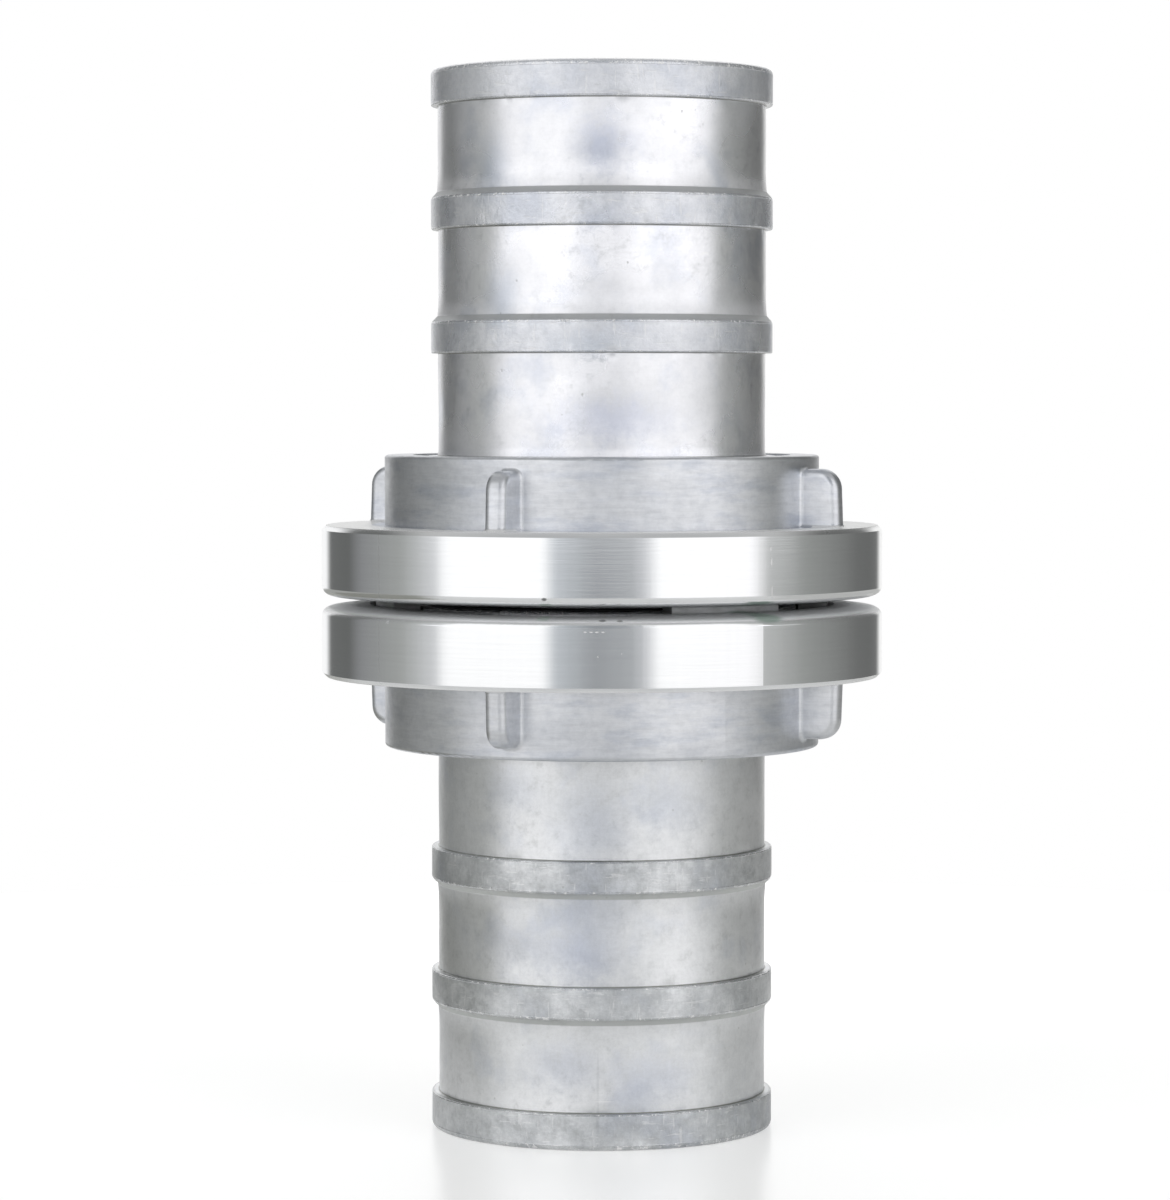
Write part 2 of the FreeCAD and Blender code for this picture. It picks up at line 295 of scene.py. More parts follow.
# Floor: a round white card, which runs out into the white of the backdrop
floor = {
    "radius": 0.5,
    "rings": 24,
    "spokes": 96,
    "innerShare": 0.02,      # a pinhole in the middle, under the foot
    "below": 0.02 * mm,      # from the foot down to the card
    "colour": "#F2F2F1",
    "roughness": 0.24,
    "specular": 0.22,
    "cameraLift": 0.38,      # brings the lit card up to white in the picture
    "liftEdge": (0.35, 0.95),  # shares of the radius, where the card runs out into white
    "glossyLift": 0.15,
    "darkSides": (135 * mm, 160 * mm),  # grey cards lie there, beside the picture
    "darkFrom": (64, 80),    # degrees to each side of the camera
    "darkColour": "#B6B6AE",
}


# Coated white card: matt white with a smooth coat, so that it mirrors the foot a little
def floorMaterial():
    material, tree = newMaterial("whiteCoatedCard")
    path = addNode(tree, "ShaderNodeLightPath")
    seen, mirrored = path.outputs["Is Camera Ray"], path.outputs["Is Glossy Ray"]
    coordinates = addNode(tree, "ShaderNodeTexCoord").outputs["Object"]
    split = addNode(tree, "ShaderNodeSeparateXYZ", {0: coordinates})
    sideAngle, aside = sideAngles(tree, split)
    across = addNode(tree, "ShaderNodeMath", {0: split.outputs["X"]}, operation="ABSOLUTE").outputs[0]
    dark = mask(tree, (across, *floor["darkSides"]), (aside, *floor["darkFrom"]),
                (sideAngle, *studio["leftToRight"]))
    reflected = summed(tree, (1.0,), (seen, -1.0))
    card = addNode(tree, "ShaderNodeBsdfPrincipled", {
        "Base Color": layered(tree, floor["colour"], floor["darkColour"], dark, reflected),
        "Roughness": floor["roughness"],
        "Specular IOR Level": floor["specular"],
    })
    away = addNode(tree, "ShaderNodeVectorMath", {0: coordinates}, operation="LENGTH")
    rimStart, rimEnd = (share * floor["radius"] for share in floor["liftEdge"])
    lift = mask(tree, (away.outputs["Value"], rimStart, rimEnd, floor["cameraLift"], 1.0))
    strength = summed(tree, (seen, lift), (mirrored, floor["glossyLift"]),
                      (mirrored, dark, -floor["glossyLift"]))
    glow = addNode(tree, "ShaderNodeEmission", {"Strength": strength})
    both = addNode(tree, "ShaderNodeAddShader", {0: card.outputs[0], 1: glow.outputs[0]})
    addNode(tree, "ShaderNodeOutputMaterial", {"Surface": both.outputs[0]})
    return material


# Mesh object at the origin from arrays of points and quads
def surfaceMesh(name, points, faces):
    mesh = bpy.data.meshes.new(name)
    mesh.from_pydata(points.tolist(), [], faces.tolist())
    mesh.update()
    made = bpy.data.objects.new(name, mesh)
    bpy.context.scene.collection.objects.link(made)
    return made


# Quads between neighbouring rows and columns; columns always close on themselves
def gridFaces(rows, columns, closedRows):
    row = np.arange(rows if closedRows else rows - 1)[:, None]
    column = np.arange(columns)[None, :]
    nextRow = (row + 1) % rows
    nextColumn = (column + 1) % columns
    corners = [row * columns + column, row * columns + nextColumn,
               nextRow * columns + nextColumn, nextRow * columns + column]
    return np.stack(corners, axis=-1).reshape(-1, 4)


# Disc on the floor plane: radius grows with the square of the row, angle with the column
def addFloor():
    share = np.linspace(floor["innerShare"], 1, floor["rings"])[:, None]
    angle = np.linspace(0, 2 * np.pi, floor["spokes"], endpoint=False)[None, :]
    radius = floor["radius"] * share ** 2
    points = np.stack([radius * np.cos(angle), radius * np.sin(angle), 0 * radius * angle], axis=-1)
    faces = gridFaces(floor["rings"], floor["spokes"], False)
    disc = surfaceMesh("studioFloor", points.reshape(-1, 3), faces)
    disc.location.z = cadLow.z - floor["below"]
    disc.data.materials.append(floorMaterial())


addFloor()
print("studio set")


# Hose tails, cast in aluminium
tail = {
    "landRadius": 37.0 * mm,
    "barbStarts": (55.6 * mm, 83.35 * mm, 111.1 * mm),  # behind the mating plane
    "barbFlat": 6.9 * mm,
    "barbChamfer": 1.5 * mm,
    "hubRadius": 40.0 * mm,
    "hubEnd": 32.55 * mm,
    "grooveRadius": 39.0 * mm,
    "groove": (28.25 * mm, 31.35 * mm),
    "shoulder": 19.25 * mm,
    "flangeFace": 0.6 * mm,
    "sealFoot": (41.6 * mm, 6.8 * mm),
    "sealNeck": (39.0 * mm, 3.8 * mm),
    "spokes": 384,
    "waveStep": 1.1 * mm,    # between the section's points where the casting's waves are
    "plainStep": 6.0 * mm,   # and in the bore and under the cap
    "edgeStep": 0.12 * mm,   # from a corner's arc to the next point
    "plainRounding": 0.2 * mm,
    "fineRounding": 0.25 * mm,  # arcs of larger ones have 5 points, others 3
    "flangeRounding": 0.6 * mm,
    "hubRounding": 0.7 * mm,
    "endRoundings": (1.2 * mm, 0.9 * mm),  # outside and in the bore
    "footRounding": 0.18 * mm,
    "barbRounding": 0.3 * mm,
    "chamferRounding": 0.66 * mm,
    # Waves of the casting: cells round the tail, length of a cell, share
    "waves": ((14, 13 * mm, 1.0), (34, 6 * mm, 0.5)),
    "waviness": 0.22 * mm,   # depth of the waves together
    "calmBarbs": 0.75,       # share of the waves that the barbs lack
    "flare": (0.24 * mm, 5.0 * mm),  # the land swells to the foot of each slope: height and length
    "nicks": 110,
    "nickWidth": (0.5 * mm, 1.8 * mm),
    "nickHeight": 0.6 * mm,
    "nickDepth": (0.04 * mm, 0.16 * mm),
    "wavesFrom": 33.05 * mm,  # behind the mating plane, just past the hub
    "calmFrom": (0.5 * mm, 1.1 * mm),  # above the lands, where the barbs' calm begins and is full
    "slopeInset": (0.15 * mm, 0.05 * mm),  # from a slope's ends to its rough skin
    "boreWall": boreRadius + 0.1 * mm,     # what is further out isn't the bore
    "outerWall": boreRadius + 1.0 * mm,    # what is further out is the outside
}


# Corners of the tail's section: (radius, distance behind the mating plane, rounding)
def tailCorners():
    flange = tailHigh.x
    end = tailHigh.z - tailLow.z + tail["flangeFace"]
    small = tail["plainRounding"]
    footRadius, footDepth = tail["sealFoot"]
    neckRadius, neckDepth = tail["sealNeck"]
    grooveFront, grooveBack = tail["groove"]
    corners = [
        (boreRadius, footDepth, small),
        (footRadius, footDepth, small),
        (footRadius, neckDepth, small),
        (neckRadius, neckDepth, small),
        (neckRadius, tail["flangeFace"], small),
        (flange, tail["flangeFace"], tail["flangeRounding"]),
        (flange, tail["shoulder"], small),
        (tail["hubRadius"], tail["shoulder"], small),
        (tail["hubRadius"], grooveFront, small),
        (tail["grooveRadius"], grooveFront, small),
        (tail["grooveRadius"], grooveBack, small),
        (tail["hubRadius"], grooveBack, small),
        (tail["hubRadius"], tail["hubEnd"], tail["hubRounding"]),
        (tail["landRadius"], tail["hubEnd"], small),
    ]
    land = tail["landRadius"]
    for start in tail["barbStarts"]:
        corners.append((land, start, tail["footRounding"]))
        corners.append((shankRadius, start, tail["barbRounding"]))
        if start < tail["barbStarts"][-1]:
            top = start + tail["barbFlat"]
            corners.append((shankRadius, top, tail["chamferRounding"]))
            corners.append((land, top + tail["barbChamfer"], tail["barbRounding"]))
    corners.append((shankRadius, end, tail["endRoundings"][0]))
    corners.append((boreRadius, end, tail["endRoundings"][1]))
    return corners


# Closed outline: straight runs in steps, and at each corner an arc of its rounding, of 3 points
# where it is tiny. An arc touches both runs at rounding times the tangent of half the turn.
# Returns points, and for each its sharpness: positive on outer corners, negative in inner ones.
def roundedOutline(corners):
    spots = np.array([corner[:2] for corner in corners])
    roundings = np.array([corner[2] for corner in corners])
    before = spots - np.roll(spots, 1, axis=0)
    after = np.roll(spots, -1, axis=0) - spots
    inward = before / np.linalg.norm(before, axis=1)[:, None]
    outward = after / np.linalg.norm(after, axis=1)[:, None]
    cross = inward[:, 0] * outward[:, 1] - inward[:, 1] * outward[:, 0]
    turn = np.arctan2(cross, (inward * outward).sum(axis=1))
    reach = roundings * np.tan(np.abs(turn) / 2)
    points, sharpness = [], []
    for index in range(len(corners)):
        share = np.linspace(0, 1, 5 if roundings[index] > tail["fineRounding"] else 3)
        start = spots[index] - inward[index] * reach[index]
        side = np.sign(turn[index])
        normal = side * np.array([-inward[index, 1], inward[index, 0]])
        centre = start + normal * roundings[index]
        angles = share * turn[index]
        spokes = -normal * roundings[index]
        arc = centre + np.stack([
            spokes[0] * np.cos(angles) - spokes[1] * np.sin(angles),
            spokes[0] * np.sin(angles) + spokes[1] * np.cos(angles),
        ], axis=1)
        points.append(arc)
        sharpness.append(np.full(len(share), side))
        following = (index + 1) % len(corners)
        nextStart = spots[following] - outward[index] * reach[following]
        run = nextStart - arc[-1]
        length = np.linalg.norm(run)
        waved = min(arc[-1][0], nextStart[0]) > tail["boreWall"] and nextStart[1] > tail["wavesFrom"]
        step = tail["waveStep"] if waved else tail["plainStep"]
        count = max(int(round(length / step)), 1)
        steps = np.linspace(0, 1, count + 1)[1:-1]
        edge = min(tail["edgeStep"] / length, 0.3)
        inner = steps[(steps > edge) & (steps < 1 - edge)]
        steps = np.unique(np.concatenate([[edge], inner, [1 - edge]]))
        points.append(arc[-1] + steps[:, None] * run)
        sharpness.append(np.zeros(len(steps)))
    return np.concatenate(points), np.concatenate(sharpness)


# Smooth noise from -1 to 1 on a drum: random values on a lattice that closes round the drum,
# blended between their neighbours by the curve 3t^2 - 2t^3
def latticeNoise(around, along, cellsAround, cellLength, seed):
    draws = np.random.default_rng(seed)
    rows = int(np.ceil((along.max() - along.min()) / cellLength)) + 2
    lattice = draws.uniform(-1, 1, (rows, cellsAround))
    u = around / (2 * np.pi) * cellsAround
    v = (along - along.min()) / cellLength
    column = np.floor(u).astype(int)
    row = np.floor(v).astype(int)
    tu = u - column
    tv = v - row
    tu = tu * tu * (3 - 2 * tu)
    tv = tv * tv * (3 - 2 * tv)
    left, right = column % cellsAround, (column + 1) % cellsAround
    low = lattice[row, left] * (1 - tu) + lattice[row, right] * tu
    high = lattice[row + 1, left] * (1 - tu) + lattice[row + 1, right] * tu
    return low * (1 - tv) + high * tv


# Share of the flare, from 0 to 1: it grows in a straight line down each slope to its foot, and
# along the land it falls with the square of what is left of the flare's length
def landFlare(behind):
    swell = 0 * behind
    for start in tail["barbStarts"][:-1]:
        top = start + tail["barbFlat"]
        foot = top + tail["barbChamfer"]
        rise = np.clip((behind - top) / (foot - top), 0, 1)
        left = 1 - np.clip(behind - foot, 0, None) / tail["flare"][1]
        swell = swell + rise * np.clip(left, 0, 1) ** 2
    return swell


# 1 on the slopes behind the barbs, 0 elsewhere
def landSlope(outline):
    top = np.array(tail["barbStarts"][:-1]) + tail["barbFlat"]
    past = outline[:, 1:] - top[None, :]
    topInset, footInset = tail["slopeInset"]
    onSlope = (past > topInset) & (past < tail["barbChamfer"] - footInset)
    return onSlope.any(axis=1) & (outline[:, 0] > tail["outerWall"])


# Depth that the casting's waves and the nicks take off: the waves are a sum of lattice noises,
# calmer on the barbs, and each nick is a bell, exp(-distance^2), on one of the barbs' edges
def castDepth(radius, behind, around, seed):
    most = sum(share for cells, length, share in tail["waves"])
    waves = 0 * radius
    for number, (cells, length, share) in enumerate(tail["waves"]):
        waves = waves + share * latticeNoise(around, behind, cells, length, seed + number)
    onBarb = np.interp(radius - tail["landRadius"], tail["calmFrom"], (0, 1))
    depth = tail["waviness"] * (most - waves) / (2 * most) * (1 - tail["calmBarbs"] * onBarb)
    draws = np.random.default_rng(seed + len(tail["waves"]))
    starts = np.array(tail["barbStarts"])
    edges = np.concatenate([starts, starts[:-1] + tail["barbFlat"]])
    nickAngle = draws.uniform(0, 2 * np.pi, tail["nicks"])
    nickPlace = draws.choice(edges, tail["nicks"])
    nickWidth = draws.uniform(*tail["nickWidth"], tail["nicks"])
    nickDepth = draws.uniform(*tail["nickDepth"], tail["nicks"])
    for number in range(tail["nicks"]):
        across = (around - nickAngle[number] + np.pi) % (2 * np.pi) - np.pi
        near = (across * shankRadius / nickWidth[number]) ** 2
        near = near + ((behind - nickPlace[number]) / tail["nickHeight"]) ** 2
        depth = depth + nickDepth[number] * np.exp(-near)
    return depth


# Drum surface: the section's outline is carried round the axis, and outside the radius loses the
# casting's depth and gains the land's flare
def addTail(name, node, direction, seed, material):
    outline, sharpness = roundedOutline(tailCorners())
    angle = np.linspace(0, 2 * np.pi, tail["spokes"], endpoint=False)[None, :]
    radius = outline[:, :1] + 0 * angle
    behind = outline[:, 1:] + 0 * angle
    around = angle + 0 * radius
    outside = (outline[:, :1] > tail["outerWall"]) & (outline[:, 1:] > tail["wavesFrom"])
    depth = castDepth(radius, behind, around, seed)
    flare = landFlare(behind)
    slope = landSlope(outline)
    radius = radius - np.where(outside, depth - tail["flare"][0] * flare, 0)
    height = matingHeight + direction * behind
    points = np.stack([radius * np.cos(around), radius * np.sin(around), height], axis=-1)
    faces = gridFaces(len(outline), tail["spokes"], True)
    if direction > 0:
        faces = faces[:, ::-1]
    made = surfaceMesh(name, points.reshape(-1, 3), faces)
    made.data.polygons.foreach_set("use_smooth", np.ones(len(faces), bool))
    shares = (("outerEdge", sharpness > 0), ("innerEdge", sharpness < 0), ("flare", flare[:, 0]),
              ("slope", slope))
    for key, values in shares:
        layer = made.data.attributes.new(key, "FLOAT", "POINT")
        layer.data.foreach_set("value", np.repeat(values.astype(np.float32), tail["spokes"]))
    made.data.materials.append(material)
    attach(made, node.replace("_hose", ""))
    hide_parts(node)
    return made


# Finish of each hose tail: the upper one is bright, the lower one dull and more handled
castFinish = {
    "upper": {
        "material": "brightCastAluminium",
        "seed": 47,
        "bright": "#FDFDFF",
        "frosted": "#F0F1F4",
        "oxide": "#D0D6E3",       # bluish patches, soft edged
        "oxideShare": 0.5,
        "grimeAndShade": "#8E8F8C",
        "grimeShare": 0.25,
        "slope": "#BFC1C1",       # grey of the slopes: painted shade of faces that turn up or down
        "barb": "#DFE2E8",
        "grainShare": 0.12,
        "landRoughness": 0.25,
        "barbRoughness": 0.27,
        "bloom": 0.08,            # share of dull white oxide in the metal
        "barbBloom": 0.17,
    },
    "lower": {
        "material": "dullCastAluminium",
        "seed": 11,
        "bright": "#F1F2F3",
        "frosted": "#E1E3E4",
        "oxide": "#CBD0DA",
        "oxideShare": 0.5,
        "grimeAndShade": "#868880",
        "grimeShare": 0.2,
        "slope": "#D0D2CF",
        "barb": "#BFC2C4",
        "grainShare": 0.19,
        "landRoughness": 0.30,
        "barbRoughness": 0.30,
        "bloom": 0.12,
        "barbBloom": 0.11,
    },
}

# Patterns of both tails: size of the blobs, detail and roughness of the noise, and for scratches
# how they are drawn out and slanted. Pores: size of a cell, radius, share of the cells.
castPatterns = {
    "clouds": (24 * mm, 2.0, 0.5),
    "patches": (13 * mm, 4.0, 0.55),
    "mottle": (3.0 * mm, 5.0, 0.65),
    "chips": (0.9 * mm, 3.0, 0.6),
    "grain": (0.8 * mm, 4.0, 0.75),
    "upright": (1.0 * mm, 3.0, 0.65, (1, 1, 0.14), (0.0, 0.25, 0.0)),
    "level": (0.8 * mm, 3.0, 0.65, (0.14, 0.14, 1), (0.12, 0.0, 0.0)),
    "pores": (5 * mm, 0.26 * mm, 0.6),
    "drift": (22 * mm, 9 * mm),    # how far patches and mottle push the soft patches' outlines
    "relief": 0.035 * mm,
    # From the lands' and the bore's radius, where the finish of barbs and bore begins and is full
    "barbEdge": (0.75 * mm, 1.25 * mm),
    "boreEdge": (0.8 * mm, 0.3 * mm),
    # Noise where a pattern begins to show, and where it is full
    "cloudy": (0.36, 0.68),
    "patchy": (0.50, 0.74),
    "scratched": (0.60, 0.68),
    "chipped": (0.56, 0.64),
}

# Soft patches and marks of the tails: degrees from the front, mm above the mating plane, half
# width and half height in mm, colour, strength. The marks are a faint flow line, a scratch and a
# bright speck.
castPatches = [
    (-2.0, 100.5, 7.5, 6.0, "#A9B4CE", 0.55), (-1.0, 84.0, 5.0, 2.2, "#B4BDD2", 0.25),
    (-6.0, 57.5, 9.0, 3.0, "#B9C4D2", 0.40), (3.0, 41.0, 13.0, 5.5, "#BFC7DF", 0.45),
    (-37.0, 67.0, 5.0, 8.0, "#A6B3C6", 0.45), (-41.0, 95.5, 5.0, 8.0, "#A6B3C6", 0.45),
    (42.0, 93.0, 4.0, 8.0, "#A6B3C6", 0.35), (-9.0, -76.0, 10.0, 7.0, "#A9B3CC", 0.45),
    (-30.0, -74.5, 8.0, 5.0, "#A3A9B6", 0.35), (-6.0, -48.0, 9.0, 9.0, "#B3BCCE", 0.32),
    (-33.0, -40.5, 8.0, 6.0, "#A6AFBF", 0.32), (22.0, -44.0, 9.0, 6.0, "#B3BCCE", 0.30),
    (16.0, -104.0, 9.0, 6.0, "#A9B3CC", 0.28), (-14.0, -101.0, 8.0, 6.0, "#A9B1C4", 0.35),
    (-2.0, -66.0, 9.0, 6.0, "#A3ADC3", 0.28),
]
castMarks = [
    (-1.5, -103.0, 0.3, 4.5, "#8D9196", 0.14), (-1.5, -113.0, 0.3, 4.0, "#8D9196", 0.18),
    (0.3, -108.4, 2.0, 0.12, "#FFFFFF", 0.5), (-2.6, -20.0, 0.2, 0.2, "#FFFFFF", 0.5),
]


# A mark shows only where the part is this far out on the mark's side of the axis
markSide = 30 * mm


# Marks laid over a colour, one after another: ellipses of half a width along the tangent and half
# a height up, on the side of the axis that they face. A mark is whole inside the core's share of
# its size, and gone at one and a half times its size. Gives the colour and the share covered.
def marked(tree, colour, position, height, marks, core):
    covered = 0.0
    for degrees, up, halfWidth, halfHeight, markColour, strength in marks:
        angle = math.radians(degrees)
        tangent = (math.cos(angle), math.sin(angle), 0.0)
        outward = (math.sin(angle), -math.cos(angle), 0.0)
        across, facing = (
            addNode(tree, "ShaderNodeVectorMath", {0: position, 1: way}, operation="DOT_PRODUCT")
            for way in (tangent, outward))
        aside = product(tree, across.outputs["Value"], 1 / (halfWidth * mm))
        above = summed(tree, (height, 1 / (halfHeight * mm)), (-up / halfHeight,))
        spread = summed(tree, (aside, aside), (above, above))
        away = addNode(tree, "ShaderNodeMath", {0: spread}, operation="SQRT").outputs[0]
        inputs = {0: facing.outputs["Value"], 1: markSide}
        inFront = addNode(tree, "ShaderNodeMath", inputs, operation="GREATER_THAN").outputs[0]
        shown = product(tree, mask(tree, (away, 1.5, core)), inFront, strength)
        colour = layered(tree, colour, markColour, shown)
        inputs = {0: covered, 1: shown}
        covered = addNode(tree, "ShaderNodeMath", inputs, operation="MAXIMUM").outputs[0]
    return colour, covered


# Sparse round specks: 1 inside the radius round the centres of a share of the cells
def specks(tree, vector, cell, radius, share):
    cells = addNode(tree, "ShaderNodeTexVoronoi", {"Vector": vector, "Scale": 1 / cell})
    chance = addNode(tree, "ShaderNodeSeparateColor", {0: cells.outputs["Color"]}).outputs[0]
    chosen = addNode(tree, "ShaderNodeMath", {0: chance, 1: share}, operation="LESS_THAN").outputs[0]
    outer, inner = 1.4 * radius / cell, 0.5 * radius / cell
    return product(tree, mask(tree, (cells.outputs["Distance"], outer, inner)), chosen)


# Die-cast aluminium, tumbled and handled: satin lands with soft frosty clouds and bluish oxide
# patches, small pores, rubbed and finely scratched barbs, nicked edges with painted glints, slopes
# with painted grey shade, and grey dirt with painted shade in the corners under the steps
def castAluminiumMaterial(finish):
    material, tree = newMaterial(finish["material"])
    coordinates = addNode(tree, "ShaderNodeTexCoord").outputs["Object"]
    split = addNode(tree, "ShaderNodeSeparateXYZ", {0: coordinates})
    height = summed(tree, (split.outputs["Z"],), (-matingHeight,))
    radius = axisRadius(tree, split)
    outerEdge, innerEdge, flare, slope = (
        addNode(tree, "ShaderNodeAttribute", attribute_name=layer).outputs["Fac"]
        for layer in ("outerEdge", "innerEdge", "flare", "slope"))
    clouds, patches, mottle, chips, grain, upright, level = (
        patterned(tree, coordinates, *castPatterns[name])
        for name in ("clouds", "patches", "mottle", "chips", "grain", "upright", "level"))

    # Where things are
    onBarb = mask(tree, fromBase(radius, tail["landRadius"], castPatterns["barbEdge"]))
    inBore = mask(tree, fromBase(radius, boreRadius, castPatterns["boreEdge"]))
    cloudy = mask(tree, (clouds, *castPatterns["cloudy"]))
    patchy = mask(tree, (patches, *castPatterns["patchy"]))
    pores = specks(tree, coordinates, *castPatterns["pores"])
    inputs = {0: mask(tree, (upright, *castPatterns["scratched"])),
              1: mask(tree, (level, *castPatterns["scratched"]))}
    scratched = addNode(tree, "ShaderNodeMath", inputs, operation="MAXIMUM").outputs[0]
    rub = product(tree, scratched, mask(tree, (onBarb, 0.0, 1.0, 0.2, 1.0)))

    # Colour: frosty clouds, handled barbs, oxide patches whose outlines drift, and scratches
    frosting = weighed(tree, (cloudy, 0.5), (mask(tree, (mottle, 0.42, 0.72)), 0.25), (onBarb, 0.3))
    metal = layered(tree, finish["bright"], finish["frosted"], frosting)
    handled = weighed(tree, (mask(tree, (patches, 0.30, 0.66)), 0.5),
                      (mask(tree, (mottle, 0.32, 0.68)), 0.25), (onBarb, 0.25))
    metal = layered(tree, metal, finish["barb"], onBarb, handled)
    metal = layered(tree, metal, finish["oxide"], patchy, finish["oxideShare"])
    aside, up = castPatterns["drift"]
    drift = summed(tree, (patches, aside), (-aside / 2,))
    drifted = addNode(tree, "ShaderNodeVectorMath", {0: coordinates, 1: drift}, operation="ADD")
    driftedHeight = summed(tree, (height,), (mottle, up), (-up / 2,))
    metal, clouded = marked(tree, metal, drifted.outputs[0], driftedHeight, castPatches, 0.0)
    metal = layered(tree, metal, "#FFFFFF", rub, 0.25)

    # Fine light and dark, stronger on the barbs
    shade = summed(tree, (grain, 1.3), (mottle, 0.8), (onBarb, patches), (onBarb, -0.5),
                   (upright, 0.45), (level, 0.45), (-1.5,))
    tone = summed(tree, (shade, -finish["grainShare"]), (shade, onBarb, -0.8 * finish["grainShare"]),
                  (0.99,))
    metal = addNode(tree, "ShaderNodeMix", {"Factor": 1.0, 6: metal, 7: tone}, data_type="RGBA",
                    blend_type="MULTIPLY").outputs[2]

    # Grey of the slopes, painted shade of faces that turn up or down; dirt in blots and pores; and
    # dirt with painted shade in the corners under the steps
    blots = mask(tree, (mottle, 0.54, 0.70), (clouds, 0.62, 0.40))
    corner = product(tree, innerEdge, mask(tree, (patches, 0.25, 0.6, 0.6, 1.0), (flare, 0.6, 0.3)))
    grimeAndShade = weighed(tree, (blots, finish["grimeShare"], 0.6), (corner, 0.8),
                    (pores, finish["grimeShare"], 1.2))
    metal = layered(tree, metal, finish["slope"], slope, 0.8)
    metal = layered(tree, metal, finish["grimeAndShade"], grimeAndShade)
    metal, markCover = marked(tree, metal, coordinates, height, castMarks, 0.5)

    # Nicked edges and rubbed barbs, worn, with painted glints: white, and made partly dull in the
    # bloom below, so that they stay bright from any side
    nickGlints = product(tree, outerEdge, mask(tree, (chips, *castPatterns["chipped"])))
    inputs = {0: nickGlints, 1: product(tree, rub, onBarb, 0.14)}
    glints = addNode(tree, "ShaderNodeMath", inputs, operation="MAXIMUM").outputs[0]
    metal = layered(tree, metal, "#FFFFFF", glints)

    barbRougher = finish["barbRoughness"] - finish["landRoughness"]
    roughness = weighed(tree, (finish["landRoughness"],), (onBarb, barbRougher), (cloudy, 0.07),
                        (patchy, -0.03), (outerEdge, -0.08), (flare, 0.08), (slope, 0.15),
                        (inBore, 0.2))
    swollen = mask(tree, (flare, 0.0, 0.6))
    bloom = weighed(tree, (cloudy, finish["bloom"]), (onBarb, finish["barbBloom"]), (markCover, 0.6),
                    (clouded, 0.08), (glints, 0.45), (swollen, 0.2), (inBore, 0.35))
    skin = summed(tree, (grain, 0.7), (mottle, 0.8))
    relief = summed(tree, (skin, 0.4), (skin, onBarb, 2.2), (rub, -0.35), (pores, -0.8),
                    (outerEdge, chips, -2.5))
    surfaced(tree, relief, castPatterns["relief"], {
        "Base Color": metal,
        "Metallic": summed(tree, (1.0,), (bloom, -1.0)),
        "Roughness": roughness,
    })
    return material


for half, direction in (("lower", -1), ("upper", 1)):
    made = addTail(f"{half}TailCasting", f"{half}_hose_tail", direction, castFinish[half]["seed"],
                   castAluminiumMaterial(castFinish[half]))
    print(half, "hose tail made:", 2 * len(made.data.polygons), "triangles")


# Claw caps, forged in aluminium with the rim turned on a lathe
capFinish = {
    "bright": "#F6F7F8",
    "forged": "#F1F2F4",
    "frosted": "#D3D6DB",
    "oxide": "#C1C7D2",
    "backSkinAndSheen": "#FFFFFE",     # dull skin on the back of the rim, painted white as a painted reflection of the backdrop
    "grimeAndShade": "#8C8E89",
    "rimDepth": 17.0 * mm,     # from the mating plane to the rim's back
    "rimRadius": 63.2 * mm,
    "lipRadius": 52.5 * mm,
    "forgedRoughness": 0.29,
    "turnedRoughness": 0.23,
    "sideRoughness": -0.12,    # what the rim's side differs by
    "anisotropy": 0.3,
    "relief": 1.0 * mm,
}

# Where the caps' finishes begin and where they are full
capEdges = {
    "pastLip": (-0.7 * mm, -0.3 * mm),     # from the lip's radius
    "clawRadius": (-0.2 * mm, -0.6 * mm),
    "side": (-0.9 * mm, -0.25 * mm),       # from the rim's radius
    "beforeBack": (-0.12 * mm, -0.02 * mm),  # from the rim's back
    "behindBack": (0.7 * mm, 0.1 * mm),
    "rimEnd": (0.15 * mm, -0.05 * mm),
    "lowerHalf": (0.3 * mm, -0.3 * mm),    # above the mating plane
    "rounding": (3.0 * mm, 1.2 * mm),      # to both sides of the mating plane
    "clawDepth": (15 * mm, 13.5 * mm),
}

# Patterns of the caps, given as the tails' are. The rings are coarser than the real feed marks of
# a lathe, so that they show.
capPatterns = {
    "clouds": (20 * mm, 2.0, 0.5),
    "smears": (5 * mm, 5.0, 0.62, (0.3, 0.3, 1), (0.10, 0.07, 0.0)),
    "mottle": (2.2 * mm, 4.0, 0.65),
    "brushed": (1.1 * mm, 4.0, 0.7, (0.12, 0.12, 1), (0.06, 0.05, 0.0)),
    "grain": (0.8 * mm, 4.0, 0.7),
    "rings": (0.55 * mm, 3.0, 0.8, (0.02, 0.02, 1)),
    "chatter": (1.3 * mm, 3.0, 0.7, (1, 1, 0.02)),
}

